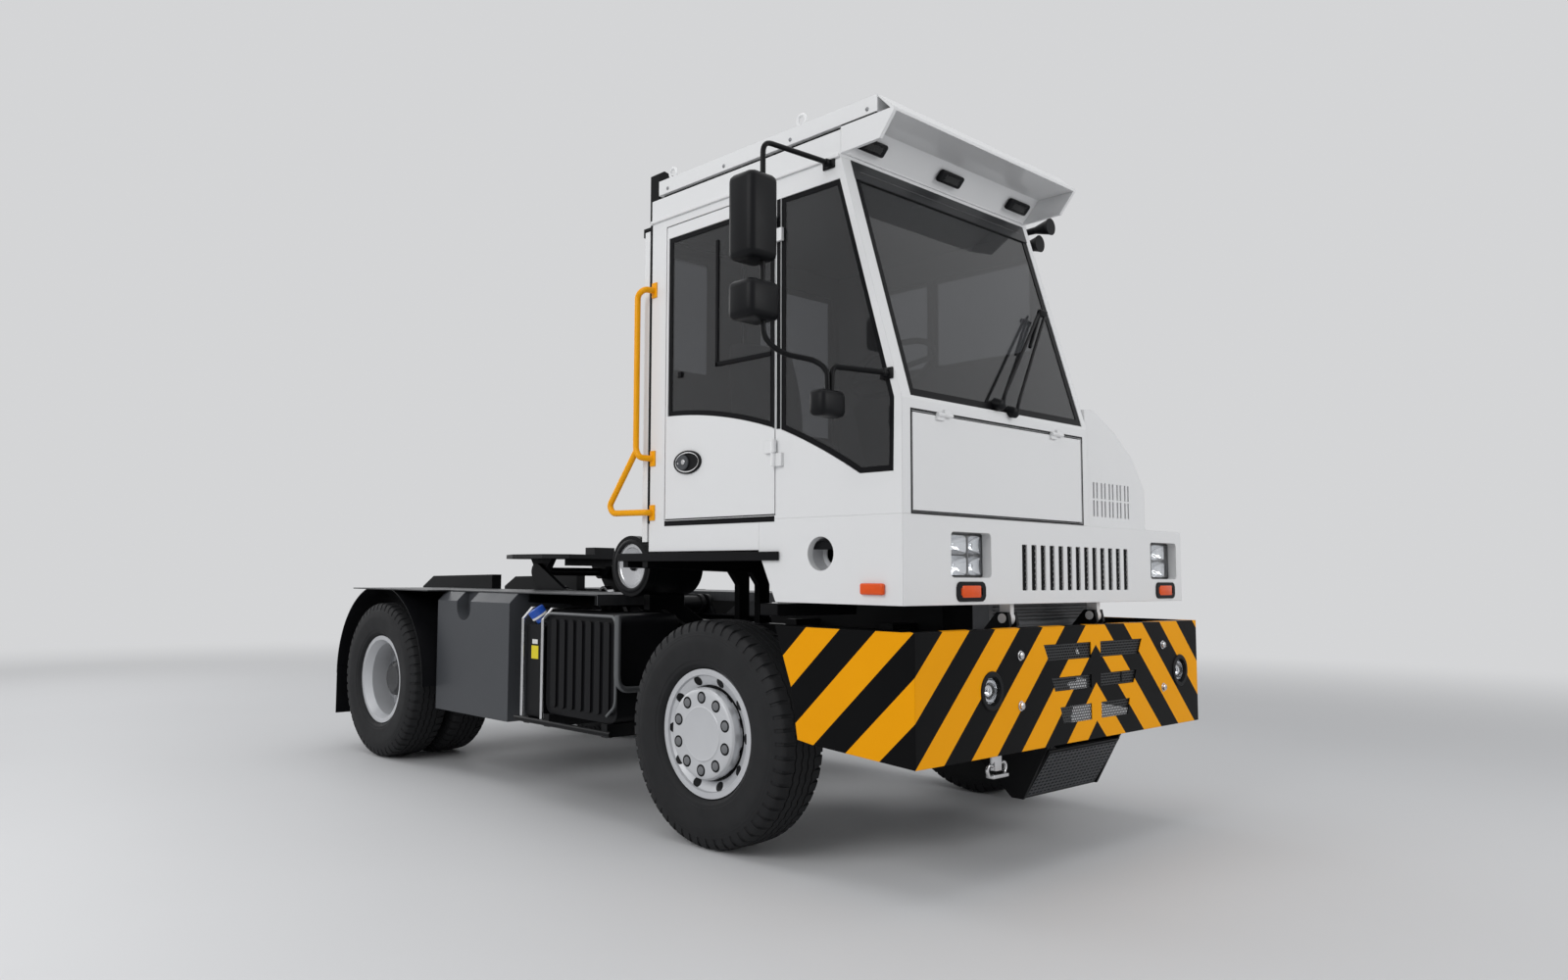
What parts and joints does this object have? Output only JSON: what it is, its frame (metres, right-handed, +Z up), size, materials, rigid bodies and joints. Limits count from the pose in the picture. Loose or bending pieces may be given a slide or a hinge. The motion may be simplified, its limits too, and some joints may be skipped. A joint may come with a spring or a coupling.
{
  "type": "terminal tractor",
  "caption": "Two-axle yard tractor with an offset half-width cab, a striped front bumper, side decks and a lifting fifth wheel over twin rear wheels.",
  "frame": {"origin": "on the ground under the middle of the overall box, mirror included", "axes": "+X to the vehicle's left, +Y towards its rear, +Z up"},
  "size_m": [3.01, 5.55, 3.4248],
  "materials": {
    "chassis_black": "satin",
    "cab_white": "gloss",
    "bumper_paint": "gloss",
    "dark_grey": "satin",
    "black_plastic": "matte",
    "rail_orange": "gloss",
    "wheel_silver": "satin",
    "tyre_rubber": "matte",
    "cast_grey": "rough",
    "bright_steel": "satin",
    "tinted_glass": "gloss",
    "lamp_clear": "gloss",
    "amber": "gloss",
    "cap_blue": "gloss",
    "seat_fabric": "matte",
    "alloy": "satin"
  },
  "bodies": {
    "chassis": {"chassis_frame": "chassis_black", "frame_brackets": "chassis_black", "side_decks": "chassis_black", "rear_mudguards": "black_plastic", "front_bumper": "bumper_paint", "lower_guard": "chassis_black", "front_axle": "cast_grey", "front_springs": "chassis_black", "rear_axle": "cast_grey", "engine_block": "cast_grey", "radiator": "alloy", "fog_lamps": "lamp_clear", "step_plate": "chassis_black", "reservoir": "chassis_black", "side_tanks": "black_plastic", "tank_cap": "cap_blue", "tank_cradles": "chassis_black", "tank_straps": "bright_steel", "side_boxes": "dark_grey"},
    "cab": {"cab_front_panel": "cab_white", "cab_shell": "cab_white", "cab_floor_panel": "chassis_black", "windscreen": "tinted_glass", "side_panes": "tinted_glass", "rear_door_rails": "chassis_black", "roof_frame": "cab_white", "roof_cap": "cab_white", "visor": "cab_white", "marker_lamps": "black_plastic", "engine_cover": "cab_white", "headlamps": "lamp_clear", "indicators": "amber", "mirror_arms": "chassis_black", "mirror_heads": "black_plastic", "handrail": "rail_orange", "wiper": "black_plastic", "air_horns": "black_plastic", "seat": "seat_fabric", "dashboard": "black_plastic"},
    "side_door": {"side_door": "cab_white", "door_pane": "tinted_glass"},
    "rear_door": {"rear_door": "cab_white", "rear_door_pane": "tinted_glass"},
    "front_hatch": {"front_hatch": "cab_white"},
    "steering_wheel": {"steering_wheel": "black_plastic"},
    "lift_boom": {"lift_boom": "chassis_black"},
    "lift_barrels": {"lift_barrels": "chassis_black"},
    "lift_rods": {"lift_rods": "bright_steel"},
    "fifth_wheel": {"fifth_wheel": "cast_grey"},
    "knuckle_left": {"steering_knuckle_left": "cast_grey"},
    "front_wheel_left": {"front_wheel_left": "wheel_silver", "front_tyre_left": "tyre_rubber"},
    "rear_wheels_left": {"rear_wheel_left": "wheel_silver", "rear_tyre_left": "tyre_rubber"},
    "knuckle_right": {"steering_knuckle_right": "cast_grey"},
    "front_wheel_right": {"front_wheel_right": "wheel_silver", "front_tyre_right": "tyre_rubber"},
    "rear_wheels_right": {"rear_wheel_right": "wheel_silver", "rear_tyre_right": "tyre_rubber"}
  },
  "joints": [
    {"name": "steer_left", "type": "hinge", "parent": "chassis", "child": "knuckle_left", "pos_m": [1.135, -1.525, 0.54], "axis": [0, 0, 1], "range_deg": [-38, 38]},
    {"name": "front_wheel_left_spin", "type": "hinge", "parent": "knuckle_left", "child": "front_wheel_left", "pos_m": [1.355, -1.525, 0.54], "axis": [1, 0, 0], "continuous": true},
    {"name": "rear_wheels_left_spin", "type": "hinge", "parent": "chassis", "child": "rear_wheels_left", "pos_m": [1.355, 1.885, 0.54], "axis": [1, 0, 0], "continuous": true},
    {"name": "steer_right", "type": "hinge", "parent": "chassis", "child": "knuckle_right", "pos_m": [-0.625, -1.525, 0.54], "axis": [0, 0, 1], "range_deg": [-38, 38]},
    {"name": "front_wheel_right_spin", "type": "hinge", "parent": "knuckle_right", "child": "front_wheel_right", "pos_m": [-0.845, -1.525, 0.54], "axis": [1, 0, 0], "continuous": true},
    {"name": "rear_wheels_right_spin", "type": "hinge", "parent": "chassis", "child": "rear_wheels_right", "pos_m": [-0.845, 1.885, 0.54], "axis": [1, 0, 0], "continuous": true},
    {"name": "cab_tilt", "type": "hinge", "parent": "chassis", "child": "cab", "pos_m": [0.255, -2.645, 1.11], "axis": [1, 0, 0], "range_deg": [0, 50]},
    {"name": "steering_wheel_turn", "type": "hinge", "parent": "cab", "child": "steering_wheel", "pos_m": [-0.345, -2.165, 2.29], "axis": [0, 0.5, 0.866], "range_deg": [-495, 495]},
    {"name": "side_door_swing", "type": "hinge", "parent": "cab", "child": "side_door", "pos_m": [-0.996, -2.003, 2.3], "axis": [0, 0, 1], "range_deg": [0, 80]},
    {"name": "rear_door_slide", "type": "slide", "parent": "cab", "child": "rear_door", "axis": [1, 0, 0], "range_m": [0, 0.62]},
    {"name": "front_hatch_lift", "type": "hinge", "parent": "cab", "child": "front_hatch", "pos_m": [-0.237, -2.719, 1.974], "axis": [-1, 0, 0], "range_deg": [0, 75]},
    {"name": "boom_lift", "type": "hinge", "parent": "chassis", "child": "lift_boom", "pos_m": [0.255, 0.225, 1.1], "axis": [1, 0, 0], "range_deg": [0, 22]},
    {"name": "barrel_swing", "type": "hinge", "parent": "chassis", "child": "lift_barrels", "pos_m": [0.255, 0.555, 0.85], "axis": [1, 0, 0], "range_deg": [0, 25.76]},
    {"name": "rod_extend", "type": "slide", "parent": "lift_barrels", "child": "lift_rods", "axis": [0, 0.8849, 0.4657], "range_m": [0, 0.1572]},
    {"name": "fifth_wheel_tilt", "type": "hinge", "parent": "lift_boom", "child": "fifth_wheel", "pos_m": [0.255, 1.275, 1.31], "axis": [1, 0, 0], "range_deg": [-12, 12]}
  ],
  "couplings": [
    {"joint": "steer_right", "follows": "steer_left", "ratio": 1},
    {"joint": "steering_wheel_turn", "follows": "steer_left", "ratio": 13},
    {"joint": "barrel_swing", "follows": "boom_lift", "ratio": 1.1481},
    {"joint": "rod_extend", "follows": "boom_lift", "m_per_rad": 0.40149}
  ]
}
